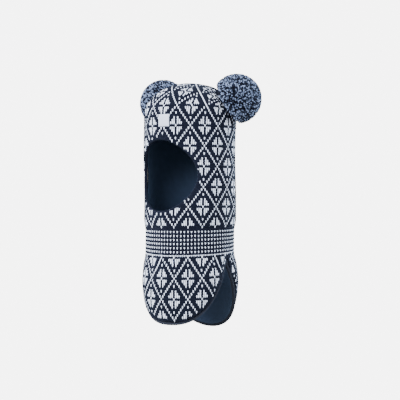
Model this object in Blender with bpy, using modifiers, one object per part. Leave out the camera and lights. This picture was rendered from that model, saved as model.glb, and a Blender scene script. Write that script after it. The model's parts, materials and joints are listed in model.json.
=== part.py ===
"""Toddler's knitted balaclava: lined hood, rib neck band, two chest and back flaps, two pom-pom ears.

Frame: metres, +Z up, the face looks along -Y and the wearer's left side is +X. The origin is where the
top of the head touches the lining, so everything below the crown has a negative height.
Angles run round the tube from the front centre (0) towards the wearer's left side (90 degrees).
"""
import math

import bmesh
import bpy
from mathutils import Matrix, Vector

# Cloth and gaps
KNIT_THICKNESS = 0.0030
MEMBRANE_THICKNESS = 0.0004
LINING_THICKNESS = 0.0012
LAYER_GAP = 0.0003
EDGE_GAP = 0.0003
HEM_GAP = 0.0006

# Hood: an upright oval tube closed by a low dome
HOOD_HALF_WIDTH = 0.0700
HOOD_HALF_DEPTH = 0.0760
DOME_RISE = 0.0520
CHIN_MARGIN = 0.0007
TAPER_HEIGHT = 0.0178

# Neck band, drawn in from the hood
NECK_DRAW_IN = 0.0025
BAND_HEIGHT = 0.0310
BAND_DIP = 0.0070

# The flaps sit turned towards the wearer's left under the hood, as if the head looks a little right
NECK_TWIST = math.radians(14.0)

# Chest and back flaps: rounded tongues that widen below the neck
FLAP_FLARE = 0.0030
FLARE_DROP = 0.0600
FRONT_FLAP_LENGTH = 0.1050
FRONT_FLAP_SPAN = math.radians(82.0)
FRONT_FLAP_ROUNDNESS = 2.45
BACK_FLAP_LENGTH = 0.1280
BACK_FLAP_ROUNDNESS = 2.0
SLIT_TOP_SHARE = 0.955

# Face opening
FACE_HALF_WIDTH = 0.0517
FACE_HALF_HEIGHT = 0.0555
FACE_CENTRE_Z = -0.1423
ELASTIC_WIDTH = 0.0060

# Windproof panels over the ears, just behind the elastic
EAR_PANEL_CLEARANCE = 0.0008
EAR_PANEL_HALF_WIDTH = 0.0330
EAR_PANEL_HALF_HEIGHT = 0.0450
EAR_PANEL_Z = -0.1350

# Forehead label
LABEL_WIDTH = 0.0215
LABEL_HEIGHT = 0.0210
LABEL_THICKNESS = 0.0007
LABEL_ANGLE = math.radians(6.0)
LABEL_Z = -0.0560

# Pom-poms
POM_RADIUS = 0.0384
POM_ANGLE = math.radians(107.0)
POM_LIFT = math.radians(21.7)
POM_STAND_OFF = 0.0150
POM_BASE_GAP = 0.0020
TIE_RADIUS = 0.0012
TIE_CLEARANCE = 0.0004
KNOT_RADIUS = 0.0022
STOPPER_RADIUS = 0.0026
BINDING_RADIUS = 0.0050
BINDING_THICKNESS = 0.0026
BINDING_LIFT = 0.0030
BACKING_RADIUS = 0.0090
BACKING_THICKNESS = 0.0016

# Mesh fineness
AROUND = 40
BAND_ROWS = 2
DOME_RINGS = 6
TUBE_ROWS = 3
TAPER_ROWS = 2
FLAP_COLUMNS = 16
FLAP_ROWS = 4
HEM_POINTS = 29
OPENING_POINTS = 36
PATCH_POINTS = 24
PATCH_RINGS = 4
LABEL_COLUMNS = 6
LABEL_ROWS = 2
POM_SEGMENTS = 18
POM_RINGS = 12
DISC_SEGMENTS = 24
RECESS_SEGMENTS = 16
BINDING_SEGMENTS = 20
BINDING_SIDES = 8
TIE_SEGMENTS = 12
KNOT_RINGS = 8

WALL = KNIT_THICKNESS + 2 * LAYER_GAP + MEMBRANE_THICKNESS + LINING_THICKNESS
MEMBRANE_DEPTH = KNIT_THICKNESS + LAYER_GAP
LINING_DEPTH = MEMBRANE_DEPTH + MEMBRANE_THICKNESS + LAYER_GAP
EDGE_RADIUS = WALL / 2
OPENING_MARGIN = 2 * EDGE_RADIUS + EDGE_GAP
DOME_BASE_Z = WALL - DOME_RISE
CHIN_Z = FACE_CENTRE_Z - FACE_HALF_HEIGHT - OPENING_MARGIN - ELASTIC_WIDTH - CHIN_MARGIN
BAND_TOP_Z = CHIN_Z - TAPER_HEIGHT
ELASTIC_EDGE_SHARE = (FACE_HALF_WIDTH + OPENING_MARGIN + ELASTIC_WIDTH) / (HOOD_HALF_WIDTH - MEMBRANE_DEPTH)
EAR_PANEL_SPAN = (EAR_PANEL_HALF_WIDTH + EAR_PANEL_CLEARANCE) / (HOOD_HALF_DEPTH - MEMBRANE_DEPTH)
EAR_PANEL_ANGLE = math.asin(ELASTIC_EDGE_SHARE) + EAR_PANEL_SPAN
NECK_HALF_WIDTH = HOOD_HALF_WIDTH - NECK_DRAW_IN
NECK_HALF_DEPTH = HOOD_HALF_DEPTH - NECK_DRAW_IN
FLAP_HALF_WIDTH = HOOD_HALF_WIDTH + FLAP_FLARE
FLAP_HALF_DEPTH = HOOD_HALF_DEPTH + FLAP_FLARE
BACK_FLAP_SPAN = math.pi - FRONT_FLAP_SPAN
FLAP_TOP_LIMIT_Z = BAND_TOP_Z - BAND_HEIGHT
SHOULDER_RADIUS = DOME_RISE ** 2 / HOOD_HALF_WIDTH - WALL
BACKING_DROP = BACKING_RADIUS ** 2 / SHOULDER_RADIUS / 2 + 2 * EDGE_GAP
PIVOT_HEIGHT = POM_BASE_GAP + KNOT_RADIUS / 2
TIE_HOLE_DEPTH = PIVOT_HEIGHT + WALL + BACKING_DROP + BACKING_THICKNESS + STOPPER_RADIUS
SHARP_ANGLE = math.radians(40)


def clear_scene():
    for old in list(bpy.data.objects):
        bpy.data.objects.remove(old, do_unlink=True)


def new_collection(name):
    collection = bpy.data.collections.new(name)
    bpy.context.scene.collection.children.link(collection)
    return collection


def yarn_material(name, colour, roughness=0.9):
    material = bpy.data.materials.new(name)
    material.use_nodes = True
    shader = material.node_tree.nodes["Principled BSDF"]
    shader.inputs["Base Color"].default_value = (*colour, 1.0)
    shader.inputs["Roughness"].default_value = roughness
    shader.inputs["Metallic"].default_value = 0.0
    return material


def smooth_step(share):
    share = min(1.0, max(0.0, share))
    return share * share * (3 - 2 * share)


def tube_half_sizes(z):
    """Outer half width and half depth of the cloth below the dome."""
    if z >= BAND_TOP_Z:
        share = smooth_step((CHIN_Z - z) / (CHIN_Z - BAND_TOP_Z))
        start, end = (HOOD_HALF_WIDTH, HOOD_HALF_DEPTH), (NECK_HALF_WIDTH, NECK_HALF_DEPTH)
    else:
        share = smooth_step((FLAP_TOP_LIMIT_Z - z) / FLARE_DROP)
        start, end = (NECK_HALF_WIDTH, NECK_HALF_DEPTH), (FLAP_HALF_WIDTH, FLAP_HALF_DEPTH)
    return tuple(a + (b - a) * share for a, b in zip(start, end))


def fabric_point(angle, z, depth):
    """Point at a height and an angle, a depth below the outer face of the knit."""
    if z > DOME_BASE_Z:
        lift = math.asin(min(1.0, (z - DOME_BASE_Z) / DOME_RISE))
        half_width = (HOOD_HALF_WIDTH - depth) * math.cos(lift)
        half_depth = (HOOD_HALF_DEPTH - depth) * math.cos(lift)
        z = DOME_BASE_Z + (DOME_RISE - depth) * math.sin(lift)
    else:
        half_width, half_depth = (size - depth for size in tube_half_sizes(z))
    return Vector((half_width * math.sin(angle), -half_depth * math.cos(angle), z))


def band_bottom_z(angle):
    """The band's lower edge sags towards the front."""
    return BAND_TOP_Z - BAND_HEIGHT - BAND_DIP * (1 + math.cos(angle - NECK_TWIST)) / 2


def steps(start, end, count):
    return [start + (end - start) * index / count for index in range(count + 1)]


def add_mesh(name, grid, collection, closed=False, loop_rows=False):
    """Open surface from rows of points; rows run along the tube's axis, columns round it."""
    mesh = bmesh.new()
    rows = [[mesh.verts.new(point) for point in row] for row in grid]
    row_pairs = list(zip(rows, rows[1:])) + ([(rows[-1], rows[0])] if loop_rows else [])
    for upper, lower in row_pairs:
        count = len(upper)
        for column in range(count if closed else count - 1):
            after = (column + 1) % count
            mesh.faces.new((upper[column], lower[column], lower[after], upper[after]))
    bmesh.ops.remove_doubles(mesh, verts=mesh.verts, dist=1e-6)
    data = bpy.data.meshes.new(name)
    mesh.to_mesh(data)
    mesh.free()
    data.shade_smooth()
    data.set_sharp_from_angle(angle=SHARP_ANGLE)
    item = bpy.data.objects.new(name, data)
    collection.objects.link(item)
    return item


def thicken(item, thickness):
    wall = item.modifiers.new("Cloth thickness", "SOLIDIFY")
    wall.thickness = thickness
    wall.offset = -1.0
    wall.use_even_offset = True
    return item


def cut(item, cutter):
    hole = item.modifiers.new("Cut by " + cutter.name, "BOOLEAN")
    hole.operation = "DIFFERENCE"
    hole.solver = "EXACT"
    hole.object = cutter


def finish_item(item, material, parent=None):
    item.data.materials.append(material)
    if parent is not None:
        item.parent = parent
        item.matrix_parent_inverse = parent.matrix_world.inverted()
    return item


def joint_empty(name, location, collection):
    empty = bpy.data.objects.new(name, None)
    empty.location = location
    empty.empty_display_size = NECK_HALF_WIDTH / 4
    collection.objects.link(empty)
    bpy.context.view_layer.update()
    return empty


def move_to(item, collection):
    for owner in item.users_collection:
        owner.objects.unlink(item)
    collection.objects.link(item)
    return item


def hide_as_cutter(item):
    item.display_type = "WIRE"
    item.hide_render = True
    return item


def ring_panel(name, heights, depth, thickness, collection):
    angles = [math.tau * index / AROUND for index in range(AROUND)]
    grid = [[fabric_point(angle, height(angle), depth) for angle in angles] for height in heights]
    return thicken(add_mesh(name, grid, collection, closed=True), thickness)


def hood_heights():
    """Rows from the crown's pole down to the band."""
    lifts = steps(math.pi / 2, 0.0, DOME_RINGS)
    rows = [DOME_BASE_Z + DOME_RISE * math.sin(lift) for lift in lifts]
    rows += steps(DOME_BASE_Z, CHIN_Z, TUBE_ROWS)[1:]
    rows += steps(CHIN_Z, BAND_TOP_Z + EDGE_GAP, TAPER_ROWS)[1:]
    return [lambda angle, z=z: z for z in rows]


def band_heights():
    return [
        lambda angle, share=share: BAND_TOP_Z + (band_bottom_z(angle) - BAND_TOP_Z) * share
        for share in steps(0.0, 1.0, BAND_ROWS)
    ]


def flap_shape(is_front):
    """The flap's centre angle, half span, length and roundness."""
    if is_front:
        return NECK_TWIST, FRONT_FLAP_SPAN, FRONT_FLAP_LENGTH, FRONT_FLAP_ROUNDNESS
    return math.pi + NECK_TWIST, BACK_FLAP_SPAN, BACK_FLAP_LENGTH, BACK_FLAP_ROUNDNESS


def flap_edge(is_front, share):
    """Angle and height of the lower edge at a share of the half span: a rounded tongue."""
    centre, span, length, roundness = flap_shape(is_front)
    angle = centre + share * span
    lowest = band_bottom_z(centre) - length
    return angle, lowest + (band_bottom_z(angle) - lowest) * abs(share) ** roundness


def flap_hinge_point(is_front):
    centre = flap_shape(is_front)[0]
    return fabric_point(centre, band_bottom_z(centre), 0.0)


def hem_allowance(is_front, share):
    """Height kept free for the rolled hem, more where the outline is steep."""
    _, span, length, roundness = flap_shape(is_front)
    slope = length * roundness * abs(share) ** (roundness - 1) / (span * NECK_HALF_WIDTH)
    return (EDGE_RADIUS + HEM_GAP) * math.sqrt(1 + slope * slope)


def flap_panel(name, is_front, depth, thickness, collection):
    shares = steps(-SLIT_TOP_SHARE, SLIT_TOP_SHARE, FLAP_COLUMNS)
    grid = []
    for row_share in steps(0.0, 1.0, FLAP_ROWS):
        row = []
        for share in shares:
            angle, edge_z = flap_edge(is_front, share)
            top_z = band_bottom_z(angle) - EDGE_GAP
            bottom_z = edge_z + hem_allowance(is_front, share)
            row.append(fabric_point(angle, top_z + (bottom_z - top_z) * row_share, depth))
        grid.append(row)
    return thicken(add_mesh(name, grid, collection), thickness)


def add_rolled_edge(name, points, cyclic, collection):
    curve = bpy.data.curves.new(name, "CURVE")
    curve.dimensions = "3D"
    curve.bevel_depth = EDGE_RADIUS
    curve.bevel_resolution = 2
    curve.use_fill_caps = not cyclic
    spline = curve.splines.new("POLY")
    spline.points.add(len(points) - 1)
    for target, point in zip(spline.points, points):
        target.co = (*point, 1.0)
    spline.use_cyclic_u = cyclic
    item = bpy.data.objects.new(name, curve)
    collection.objects.link(item)
    return item


def hem(name, is_front, collection):
    points = []
    for share in steps(-SLIT_TOP_SHARE, SLIT_TOP_SHARE, HEM_POINTS - 1):
        angle, edge_z = flap_edge(is_front, share)
        points.append(fabric_point(angle, edge_z, EDGE_RADIUS))
    return add_rolled_edge(name, points, False, collection)


def face_point(turn, margin, depth):
    """Point on the cloth, a margin outside the face opening's edge."""
    x = (FACE_HALF_WIDTH + margin) * math.cos(turn)
    z = FACE_CENTRE_Z + (FACE_HALF_HEIGHT + margin) * math.sin(turn)
    angle = math.asin(x / (tube_half_sizes(z)[0] - depth))
    return fabric_point(angle, z, depth)


def face_binding(collection):
    turns = [math.tau * index / OPENING_POINTS for index in range(OPENING_POINTS)]
    points = [face_point(turn, EDGE_RADIUS, EDGE_RADIUS) for turn in turns]
    return add_rolled_edge("face_binding", points, True, collection)


def face_cutter(collection):
    radius = FACE_HALF_WIDTH + OPENING_MARGIN
    height = FACE_HALF_HEIGHT + OPENING_MARGIN
    bpy.ops.mesh.primitive_cylinder_add(vertices=OPENING_POINTS, radius=1.0, depth=HOOD_HALF_DEPTH)
    cutter = bpy.context.object
    cutter.name = "face_cutter"
    shape = Matrix.Translation((0, -HOOD_HALF_DEPTH, FACE_CENTRE_Z))
    shape @= Matrix.Rotation(math.pi / 2, 4, "X") @ Matrix.Diagonal((radius, height, 1.0, 1.0))
    cutter.data.transform(shape)
    return hide_as_cutter(move_to(cutter, collection))


def face_elastic(collection):
    """Flat elastic sewn between knit and lining round the face opening."""
    turns = [math.tau * index / OPENING_POINTS for index in range(OPENING_POINTS)]
    margins = steps(OPENING_MARGIN, OPENING_MARGIN + ELASTIC_WIDTH, 2)
    grid = [[face_point(turn, margin, MEMBRANE_DEPTH) for turn in turns] for margin in margins]
    return thicken(add_mesh("face_elastic", grid, collection, closed=True), MEMBRANE_THICKNESS)


def oval_patch(name, centre_angle, centre_z, half_width, half_height, depth, thickness, collection):
    """Thin oval laid on the tube: rings of points round a centre."""
    turns = [math.tau * index / PATCH_POINTS for index in range(PATCH_POINTS)]
    radius = HOOD_HALF_DEPTH - depth
    grid = []
    for share in steps(1.0, 0.0, PATCH_RINGS):
        row = []
        for turn in turns:
            angle = centre_angle - share * half_width / radius * math.cos(turn)
            row.append(fabric_point(angle, centre_z + share * half_height * math.sin(turn), depth))
        grid.append(row)
    return thicken(add_mesh(name, grid, collection, closed=True), thickness)


def label(collection):
    columns = steps(-LABEL_WIDTH / 2, LABEL_WIDTH / 2, LABEL_COLUMNS)
    rows = steps(LABEL_HEIGHT / 2, -LABEL_HEIGHT / 2, LABEL_ROWS)
    depth = -(LAYER_GAP + LABEL_THICKNESS)
    grid = [
        [fabric_point(LABEL_ANGLE + column / HOOD_HALF_WIDTH, LABEL_Z + row, depth) for column in columns]
        for row in rows
    ]
    return thicken(add_mesh("forehead_label", grid, collection), LABEL_THICKNESS)


def pom_frame(side):
    """Anchor point on the knit's outer face and the outward normal there."""
    angle = side * POM_ANGLE
    half_sizes = (HOOD_HALF_WIDTH, HOOD_HALF_DEPTH, DOME_RISE)
    unit = (math.cos(POM_LIFT) * math.sin(angle), -math.cos(POM_LIFT) * math.cos(angle), math.sin(POM_LIFT))
    anchor = Vector(size * share for size, share in zip(half_sizes, unit)) + Vector((0, 0, DOME_BASE_Z))
    normal = Vector(share / size for size, share in zip(half_sizes, unit)).normalized()
    return anchor, normal


def placed(anchor, normal, height):
    """World matrix with its own +Z along the normal, a height above the cloth."""
    tangent = Vector((-normal.y, normal.x, 0.0)).normalized()
    outward = tangent.cross(normal)
    turn = Matrix((outward, tangent, normal)).transposed().to_4x4()
    return Matrix.Translation(anchor + normal * height) @ turn


def add_bmesh(name, mesh, world, collection):
    """Object from a bmesh modelled in its own frame, where +Z leaves the cloth."""
    data = bpy.data.meshes.new(name)
    mesh.to_mesh(data)
    mesh.free()
    data.shade_smooth()
    data.set_sharp_from_angle(angle=SHARP_ANGLE)
    item = bpy.data.objects.new(name, data)
    collection.objects.link(item)
    item.matrix_world = world
    return item


def cylinder(radius, low, high, segments):
    mesh = bmesh.new()
    place = Matrix.Translation((0, 0, (low + high) / 2))
    bmesh.ops.create_cone(mesh, cap_ends=True, segments=segments, radius1=radius, radius2=radius,
                          depth=high - low, matrix=place)
    return mesh


def ball(radius, height, segments, rings):
    mesh = bmesh.new()
    place = Matrix.Translation((0, 0, height))
    bmesh.ops.create_uvsphere(mesh, u_segments=segments, v_segments=rings, radius=radius, matrix=place)
    return mesh


def pom_ball(name, pivot, parts, cutters):
    """Ball of yarn, flat where it meets the cloth and hollow round its binding."""
    centre = POM_STAND_OFF - PIVOT_HEIGHT
    item = add_bmesh(name, ball(POM_RADIUS, centre, POM_SEGMENTS, POM_RINGS), pivot, parts)
    base = cylinder(2 * POM_RADIUS, -2 * POM_RADIUS, POM_BASE_GAP - PIVOT_HEIGHT, DISC_SEGMENTS)
    recess_radius = BINDING_RADIUS + BINDING_THICKNESS / 2 + 2 * TIE_CLEARANCE
    recess_top = BINDING_LIFT + BINDING_THICKNESS / 2 + TIE_CLEARANCE
    recess = cylinder(recess_radius, -POM_RADIUS, recess_top, RECESS_SEGMENTS)
    for suffix, shape in (("_base_cutter", base), ("_recess_cutter", recess)):
        cut(item, hide_as_cutter(add_bmesh(name + suffix, shape, pivot, cutters)))
    return item


def pom_binding(name, pivot, parts):
    """Ring of thread wound round the pom-pom's waist."""
    rings = []
    for side in range(BINDING_SIDES):
        lap = -math.tau * side / BINDING_SIDES
        radius = BINDING_RADIUS + BINDING_THICKNESS / 2 * math.cos(lap)
        height = BINDING_LIFT + BINDING_THICKNESS / 2 * math.sin(lap)
        angles = [math.tau * index / BINDING_SEGMENTS for index in range(BINDING_SEGMENTS)]
        rings.append([Vector((radius * math.cos(turn), radius * math.sin(turn), height)) for turn in angles])
    item = add_mesh(name, rings, parts, closed=True, loop_rows=True)
    item.matrix_world = pivot
    return item


def pom_tie(name, pivot, backing_top, parts, cutters):
    """Yarn through the cloth, with a knot in the ball and a stopper knot under the backing disc."""
    stopper_height = backing_top - BACKING_THICKNESS - EDGE_GAP - STOPPER_RADIUS
    tie = add_bmesh(name, cylinder(TIE_RADIUS, stopper_height, 0.0, TIE_SEGMENTS), pivot, parts)
    for suffix, radius, height in (("_knot", KNOT_RADIUS, 0.0), ("_stopper", STOPPER_RADIUS, stopper_height)):
        end = add_bmesh(name + suffix, ball(radius, height, TIE_SEGMENTS, KNOT_RINGS), pivot, cutters)
        join = tie.modifiers.new("Join" + suffix, "BOOLEAN")
        join.operation = "UNION"
        join.object = hide_as_cutter(end)
    return tie


def add_pompom(side_name, side, parts, cutters, colours):
    """One pom-pom with its binding, tie and backing; returns the cutter of the tie's hole."""
    pivot = placed(*pom_frame(side), PIVOT_HEIGHT)
    name = "pompom_" + side_name
    finish_item(pom_ball(name, pivot, parts, cutters), colours["pom"])
    finish_item(pom_binding(name + "_binding", pivot, parts), colours["navy"])

    backing_top = -(PIVOT_HEIGHT + WALL + BACKING_DROP)
    finish_item(pom_tie(name + "_tie", pivot, backing_top, parts, cutters), colours["navy"])
    disc = cylinder(BACKING_RADIUS, backing_top - BACKING_THICKNESS, backing_top, DISC_SEGMENTS)
    backing = add_bmesh(name + "_backing", disc, pivot, parts)
    hole_shape = cylinder(TIE_RADIUS + TIE_CLEARANCE, -TIE_HOLE_DEPTH, 0.0, TIE_SEGMENTS)
    hole = hide_as_cutter(add_bmesh(name + "_hole_cutter", hole_shape, pivot, cutters))
    cut(backing, hole)
    finish_item(backing, colours["lining"])
    return hole


def side_cutter(name, side, collection):
    """Box that leaves one half of the lining and half a seam's gap."""
    size = 2 * (DOME_RISE - BAND_TOP_Z)
    bpy.ops.mesh.primitive_cube_add(size=size)
    cutter = bpy.context.object
    cutter.name = name
    cutter.data.transform(Matrix.Translation((-side * (size / 2 - EDGE_GAP / 2), 0, 0)))
    return hide_as_cutter(move_to(cutter, collection))


def build():
    clear_scene()
    parts = new_collection("knitted_balaclava")
    cutters = new_collection("cutters")
    colours = {
        "jacquard": yarn_material("jacquard_wool", (0.10, 0.13, 0.22)),
        "navy": yarn_material("navy_wool", (0.012, 0.018, 0.040)),
        "lining": yarn_material("navy_jersey", (0.022, 0.045, 0.090), 0.8),
        "pom": yarn_material("cut_yarn", (0.22, 0.27, 0.38)),
        "membrane": yarn_material("white_membrane", (0.75, 0.77, 0.80), 0.5),
        "elastic": yarn_material("white_elastic", (0.70, 0.70, 0.68), 0.7),
        "label": yarn_material("silver_label", (0.66, 0.68, 0.73), 0.5),
    }

    neck_turn = joint_empty("neck_turn_axis", (0, 0, BAND_TOP_Z), parts)
    front_lift, back_lift = (joint_empty(name, flap_hinge_point(is_front), parts)
                             for name, is_front in (("front_flap_axis", True), ("back_flap_axis", False)))

    face_hole = face_cutter(cutters)
    sides = (("left", 1), ("right", -1))
    tie_holes = [add_pompom(name, side, parts, cutters, colours) for name, side in sides]

    hood = ring_panel("hood_knit", hood_heights(), 0.0, KNIT_THICKNESS, parts)
    for cutter in [face_hole] + tie_holes:
        cut(hood, cutter)
    finish_item(hood, colours["jacquard"])

    for (name, side), tie_hole in zip(sides, tie_holes):
        lining = ring_panel("hood_lining_" + name, hood_heights(), LINING_DEPTH, LINING_THICKNESS, parts)
        for cutter in (face_hole, tie_hole, side_cutter(name + "_half_cutter", side, cutters)):
            cut(lining, cutter)
        finish_item(lining, colours["lining"])
        panel = oval_patch("ear_membrane_" + name, side * EAR_PANEL_ANGLE, EAR_PANEL_Z, EAR_PANEL_HALF_WIDTH,
                           EAR_PANEL_HALF_HEIGHT, MEMBRANE_DEPTH, MEMBRANE_THICKNESS, parts)
        finish_item(panel, colours["membrane"])

    finish_item(face_binding(parts), colours["navy"])
    finish_item(face_elastic(parts), colours["elastic"])
    finish_item(label(parts), colours["label"])

    band = ring_panel("neck_band", band_heights(), 0.0, KNIT_THICKNESS, parts)
    finish_item(band, colours["jacquard"], neck_turn)
    neck_lining = ring_panel("neck_lining", band_heights(), LINING_DEPTH, LINING_THICKNESS, parts)
    finish_item(neck_lining, colours["lining"], neck_turn)

    for side_name, is_front, axis in (("front", True, front_lift), ("back", False, back_lift)):
        name = side_name + "_flap"
        knit = flap_panel(name + "_knit", is_front, 0.0, KNIT_THICKNESS, parts)
        finish_item(knit, colours["jacquard"], axis)
        inside = flap_panel(name + "_lining", is_front, LINING_DEPTH, LINING_THICKNESS, parts)
        finish_item(inside, colours["lining"], axis)
        finish_item(hem(name + "_hem", is_front, parts), colours["navy"], axis)


build()
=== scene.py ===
import json
import math

import bmesh
import bpy
import numpy as np
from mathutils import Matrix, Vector


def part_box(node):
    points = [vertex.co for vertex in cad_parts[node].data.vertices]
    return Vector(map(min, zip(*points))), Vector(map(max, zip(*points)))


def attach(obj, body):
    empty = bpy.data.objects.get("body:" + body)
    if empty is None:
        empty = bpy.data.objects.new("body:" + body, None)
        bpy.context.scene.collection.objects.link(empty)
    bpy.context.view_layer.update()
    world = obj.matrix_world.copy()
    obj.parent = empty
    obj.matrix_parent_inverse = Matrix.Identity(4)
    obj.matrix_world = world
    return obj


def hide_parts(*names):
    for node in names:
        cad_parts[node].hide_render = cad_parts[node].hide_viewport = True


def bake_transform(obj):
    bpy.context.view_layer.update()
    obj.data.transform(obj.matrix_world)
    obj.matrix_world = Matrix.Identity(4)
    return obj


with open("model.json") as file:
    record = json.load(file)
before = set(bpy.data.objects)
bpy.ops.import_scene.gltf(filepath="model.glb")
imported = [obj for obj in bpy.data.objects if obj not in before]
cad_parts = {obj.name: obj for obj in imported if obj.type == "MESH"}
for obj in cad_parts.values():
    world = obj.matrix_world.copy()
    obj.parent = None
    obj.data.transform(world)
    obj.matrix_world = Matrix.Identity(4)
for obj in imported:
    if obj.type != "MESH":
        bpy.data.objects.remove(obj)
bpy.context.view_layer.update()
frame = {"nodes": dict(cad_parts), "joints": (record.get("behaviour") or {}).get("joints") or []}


# measures that the frame gives

def jointOf(name):
    return next(joint for joint in frame["joints"] if joint["name"] == name)


def corners(name):
    return [np.array(corner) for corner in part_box(name)]


hoodHigh = corners("hood_knit")[1]
bandHigh = corners("neck_band")[1]
bindLow, bindHigh = corners("face_binding")
frontHemLow = corners("front_flap_hem")[0]
backHemLow = corners("back_flap_hem")[0]
labelLow, labelHigh = corners("forehead_label")
frontHinge = np.array(jointOf("front_flap_lift")["pos_m"])
backHinge = np.array(jointOf("back_flap_lift")["pos_m"])

cloth = {
    "domeRise": 0.052,
    "taperHeight": 0.0178,  # the tube draws in to the neck over this height
    "flareDrop": 0.060,  # and widens again over this one, below the band
    "flapFlare": 0.003,
    "knitThickness": 0.0022,
    "liningDepth": 0.0040,
    "liningThickness": 0.0012,
    "rollRadius": 0.0026,  # the turned edges
    "rollInset": 0.0003,
    "rollProud": 0.0006,
    "rippleHeight": 0.0004,
    "bandSag": 0.0025,  # the band's lower rows hang below its solid
    "bandTopRise": 0.0014,
}
domeZ = hoodHigh[2] - cloth["domeRise"]
bandTopZ = bandHigh[2]
chinZ = bandTopZ + cloth["taperHeight"]
bandFrontZ, bandBackZ = frontHinge[2], backHinge[2]
twist = math.atan2(frontHinge[0] / bandHigh[0], -frontHinge[1] / bandHigh[1])


# small helpers

def smooth01(share):
    share = np.clip(share, 0.0, 1.0)
    return share * share * (3 - 2 * share)


def unit(vectors):
    return vectors / np.maximum(np.linalg.norm(vectors, axis=-1, keepdims=True), 1e-12)


def linear(hexCode):  # sRGB hex to linear RGBA
    parts = [int(hexCode[k:k + 2], 16) / 255 for k in (1, 3, 5)]
    return (*[p / 12.92 if p <= 0.04045 else ((p + 0.055) / 1.055) ** 2.4 for p in parts], 1.0)


def addNode(tree, kind, settings=None, values=None, links=None):
    made = tree.nodes.new(kind)
    for key, value in (settings or {}).items():
        setattr(made, key, value)
    for key, value in (values or {}).items():
        made.inputs[key].default_value = value
    for key, source in (links or {}).items():
        tree.links.new(source, made.inputs[key])
    return made


def newObject(name, data):
    made = bpy.data.objects.new(name, data)
    bpy.context.scene.collection.objects.link(made)
    return made


def meshObject(name, points, faces, smooth=True):
    data = bpy.data.meshes.new(name)
    faceLists = [list(map(int, face)) for face in faces]
    data.from_pydata(np.asarray(points).reshape(-1, 3).tolist(), [], faceLists)
    data.polygons.foreach_set("use_smooth", [smooth] * len(data.polygons))
    data.update()
    return newObject(name, data)


def giveAttribute(data, name, values, domain="POINT", kind="FLOAT"):
    layer = data.attributes.new(name, kind, domain)
    field = "vector" if kind == "FLOAT_VECTOR" else "value"
    layer.data.foreach_set(field, np.asarray(values, np.float32).ravel())


def bake(item):  # modifiers become plain mesh
    bpy.context.view_layer.update()
    graph = bpy.context.evaluated_depsgraph_get()
    mesh = bpy.data.meshes.new_from_object(item.evaluated_get(graph), preserve_all_data_layers=True,
                                           depsgraph=graph)
    item.modifiers.clear()
    old = item.data
    item.data = mesh
    mesh.name = item.name
    bpy.data.meshes.remove(old)
    return item


def bothSides(grid, closed):  # the left and the right edge of every column of cells
    return (grid, np.roll(grid, -1, axis=1)) if closed else (grid[:, :-1], grid[:, 1:])


def gridFaces(rows, columns, closed, keep=None):  # rows go up, columns go round, faces look outwards
    left, right = bothSides(np.arange(rows * columns).reshape(rows, columns), closed)
    quads = np.stack([left[:-1], right[:-1], right[1:], left[1:]], axis=-1)
    return quads[keep] if keep is not None else quads.reshape(-1, 4)


def clothSheet(name, grid, closed, thickness, material, keep=None, pick=None, uv=None):
    rows, columns = grid.shape[:2]
    item = meshObject(name, grid, gridFaces(rows, columns, closed, keep))
    if pick is not None:
        giveAttribute(item.data, "yarnPick", pick[keep] if keep is not None else pick, "FACE")
    if uv is not None:
        layer = item.data.uv_layers.new(name="cloth")
        loops = np.array([loop.vertex_index for loop in item.data.loops])
        layer.data.foreach_set("uv", uv.reshape(-1, 2)[loops].astype(np.float32).ravel())
    item.data.materials.append(material)
    wall = item.modifiers.new("Cloth thickness", "SOLIDIFY")
    wall.thickness = thickness
    wall.offset = -1.0
    bake(item)
    work = bmesh.new()
    work.from_mesh(item.data)
    loose = [vert for vert in work.verts if not vert.link_faces]
    bmesh.ops.delete(work, geom=loose, context="VERTS")
    work.to_mesh(item.data)
    work.free()
    return item


# the shape of the cloth: angles run round the tube from the front centre, lift is outwards

def halfSizes(z):
    hoodShare = smooth01((chinZ - z) / (chinZ - bandTopZ))
    flapShare = smooth01((bandBackZ - z) / cloth["flareDrop"])
    width = hoodHigh[0] + (bandHigh[0] - hoodHigh[0]) * hoodShare
    depth = hoodHigh[1] + (bandHigh[1] - hoodHigh[1]) * hoodShare
    widen = (hoodHigh[0] + cloth["flapFlare"] - bandHigh[0]) * flapShare
    return width + widen, depth + widen


def clothPoint(angle, z, lift=0.0):
    angle, z, lift = np.broadcast_arrays(np.asarray(angle, float), z, lift)
    width, depth = halfSizes(z)
    return np.stack([(width + lift) * np.sin(angle), -(depth + lift) * np.cos(angle), z], axis=-1)


def bandBottom(angle):
    return bandBackZ + (bandFrontZ - bandBackZ) * (1 + np.cos(angle - twist)) / 2 - cloth["bandSag"]


def bandTop(angle):
    return bandTopZ + cloth["bandTopRise"] * (1 - np.cos(angle - twist))


def bandHeight(angle, share):  # from the top edge down
    return bandTop(angle) + (bandBottom(angle) - bandTop(angle)) * share


def ripple(angle, z):  # the knit never hangs quite even
    return cloth["rippleHeight"] * (np.sin(3 * angle + z / 0.041) + np.sin(5 * angle - z / 0.023 + 1.3))


# the knitting: one grid of stitches round the hood, drawn over the crown to a seam between the pom-poms

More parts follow.
